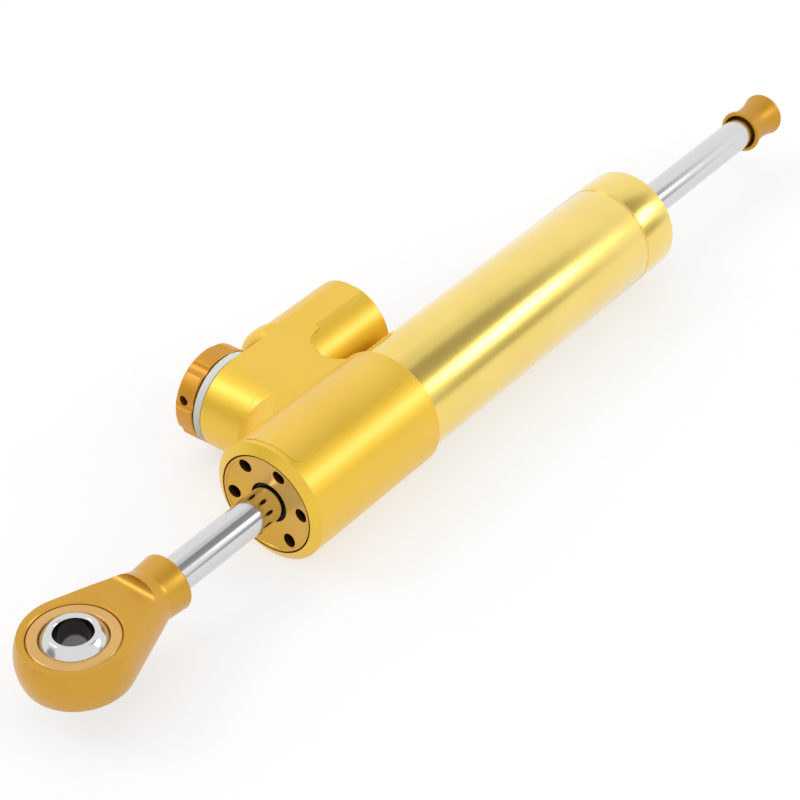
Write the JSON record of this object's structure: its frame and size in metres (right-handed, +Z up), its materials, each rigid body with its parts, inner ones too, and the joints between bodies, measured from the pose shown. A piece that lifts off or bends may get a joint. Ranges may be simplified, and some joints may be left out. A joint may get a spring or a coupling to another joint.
{
  "type": "motorcycle steering damper",
  "caption": "Through-rod hydraulic steering damper with a ball-joint eye, a side-barrel damping adjuster with a fluted knob, and a parallel oil reservoir.",
  "frame": {"origin": "centre of the ball in the rod's eye", "axes": "+X along the rod from the eye to the free end, +Y towards the damping adjuster, +Z up along the bolt through the eye"},
  "size_m": [0.269, 0.0523, 0.0285],
  "materials": {
    "anodised_head": "gold anodised, satin machined",
    "anodised_tube": "pale gold anodised, polished",
    "anodised_dark": "amber anodised, fine turned",
    "chrome_steel": "hard chromed and polished",
    "race_steel": "yellow passivated",
    "steel": "ground steel",
    "bronze": "machined bronze",
    "nitrile": "moulded nitrile rubber",
    "white_plastic": "cut acetal sheet",
    "clear_film": "clear gloss film over gold"
  },
  "bodies": {
    "cylinder": {"head_block": "anodised_head", "cylinder_tube": "anodised_tube", "inner_liner": "steel", "front_gland": "anodised_head", "front_gland_oring": "nitrile", "front_rod_bush": "bronze", "front_rod_seal": "nitrile", "front_wiper": "nitrile", "rear_cap": "anodised_tube", "rear_cap_oring": "nitrile", "rear_rod_bush": "bronze", "rear_rod_seal": "nitrile", "rear_wiper": "nitrile", "adjuster_cartridge": "bronze", "cartridge_oring": "nitrile", "valve_seat": "steel", "adjuster_washer": "white_plastic", "detent_ball": "steel", "detent_spring": "steel", "reservoir_plug": "anodised_head", "reservoir_plug_oring": "nitrile", "reservoir_circlip": "steel", "reservoir_spring": "steel", "label_film": "clear_film"},
    "piston_seal": {"piston_ring": "white_plastic"},
    "rod": {"piston_rod": "chrome_steel", "piston": "anodised_head", "piston_clips": "steel", "rod_eye": "anodised_head", "bearing_race": "race_steel", "rod_end_cap": "anodised_dark"},
    "ball": {"bearing_ball": "chrome_steel"},
    "adjuster": {"adjuster_knob": "anodised_dark", "knob_grub_screw": "steel", "adjuster_spindle": "steel", "spindle_oring": "nitrile"},
    "needle": {"metering_needle": "steel"},
    "reservoir_piston": {"floating_piston": "anodised_head", "floating_piston_oring": "nitrile"}
  },
  "joints": [
    {"name": "rod_slide", "type": "slide", "parent": "cylinder", "child": "piston_seal", "axis": [1, 0, 0], "range_m": [-0.0483, 0.0267]},
    {"name": "rod_turn", "type": "hinge", "parent": "piston_seal", "child": "rod", "pos_m": [0.1353, 0, 0], "axis": [1, 0, 0], "continuous": true},
    {"name": "ball_turn", "type": "hinge", "parent": "rod", "child": "ball", "pos_m": [0, 0, 0], "axis": [0, 0, 1], "continuous": true},
    {"name": "knob_turn", "type": "hinge", "parent": "cylinder", "child": "adjuster", "pos_m": [0.0794, 0.034, 0], "axis": [0, 1, 0], "range_deg": [-162, 162]},
    {"name": "needle_feed", "type": "slide", "parent": "adjuster", "child": "needle", "axis": [0, 1, 0], "range_m": [-0.0005, 0.0005]},
    {"name": "reservoir_slide", "type": "slide", "parent": "cylinder", "child": "reservoir_piston", "axis": [1, 0, 0], "range_m": [-0.003, 0.003], "stiffness_N_per_m": 400, "deforming": ["reservoir_spring"]}
  ],
  "couplings": [
    {"joint": "needle_feed", "follows": "knob_turn", "m_per_rad": 0.00015915}
  ]
}
